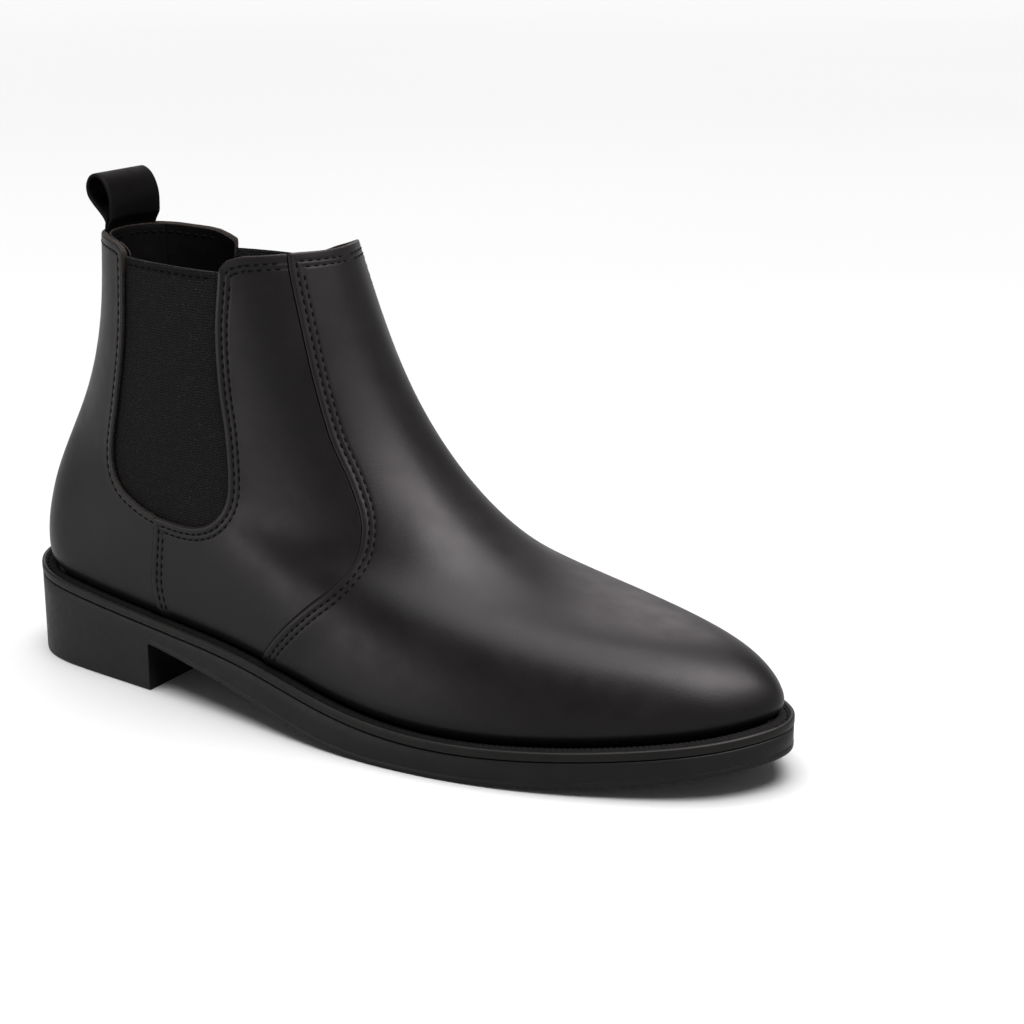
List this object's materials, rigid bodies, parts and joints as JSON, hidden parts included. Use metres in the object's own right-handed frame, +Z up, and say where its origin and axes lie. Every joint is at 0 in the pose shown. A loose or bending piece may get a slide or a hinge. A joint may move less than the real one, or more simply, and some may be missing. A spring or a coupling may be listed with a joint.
{
  "type": "chelsea boot",
  "caption": "Ankle-high right chelsea boot: smooth leather upper, elastic side gores, pull tab at the back, welted sole with a low block heel.",
  "frame": {"origin": "centre of the bounding box in plan, at floor level", "axes": "+X from the heel to the toe, -Y to the lateral (outer) side of the right foot, +Z up"},
  "size_m": [0.304, 0.1068, 0.1816],
  "materials": {
    "upper_leather": "smooth black calf leather, satin",
    "lining_leather": "matt dark lining leather",
    "sole_rubber": "moulded black rubber, satin",
    "welt_rubber": "black rubber welt strip with a stitched groove",
    "elastic_gore": "black crepe elastic webbing",
    "stiffener": "impregnated stiffener sheet",
    "fibre_board": "cellulose insole board",
    "cork": "cork filler",
    "foam": "cushion foam",
    "spring_steel": "plain spring steel"
  },
  "bodies": {
    "boot": {"vamp": "upper_leather", "quarter_lateral": "upper_leather", "quarter_medial": "upper_leather", "back_quarter_lateral": "upper_leather", "back_quarter_medial": "upper_leather", "pull_tab_tails": "upper_leather", "vamp_lining": "lining_leather", "quarter_lining_lateral": "lining_leather", "quarter_lining_medial": "lining_leather", "heel_grip": "lining_leather", "sock": "lining_leather", "outsole": "sole_rubber", "heel_top_piece": "sole_rubber", "welt": "welt_rubber", "gore_lateral": "elastic_gore", "gore_medial": "elastic_gore", "toe_puff": "stiffener", "heel_counter": "stiffener", "insole_board": "fibre_board", "cork_filler": "cork", "insole_foam": "foam", "shank": "spring_steel", "heel_nail_1": "spring_steel", "heel_nail_2": "spring_steel", "heel_nail_3": "spring_steel", "heel_nail_4": "spring_steel", "heel_nail_5": "spring_steel"},
    "pull_tab": {"pull_tab_loop": "upper_leather"}
  },
  "joints": [
    {"name": "pull_tab_fold", "type": "hinge", "parent": "boot", "child": "pull_tab", "pos_m": [-0.1066, 0, 0.1642], "axis": [0, 1, 0], "range_deg": [-60, 60], "stiffness_Nm_per_rad": 0.01}
  ]
}
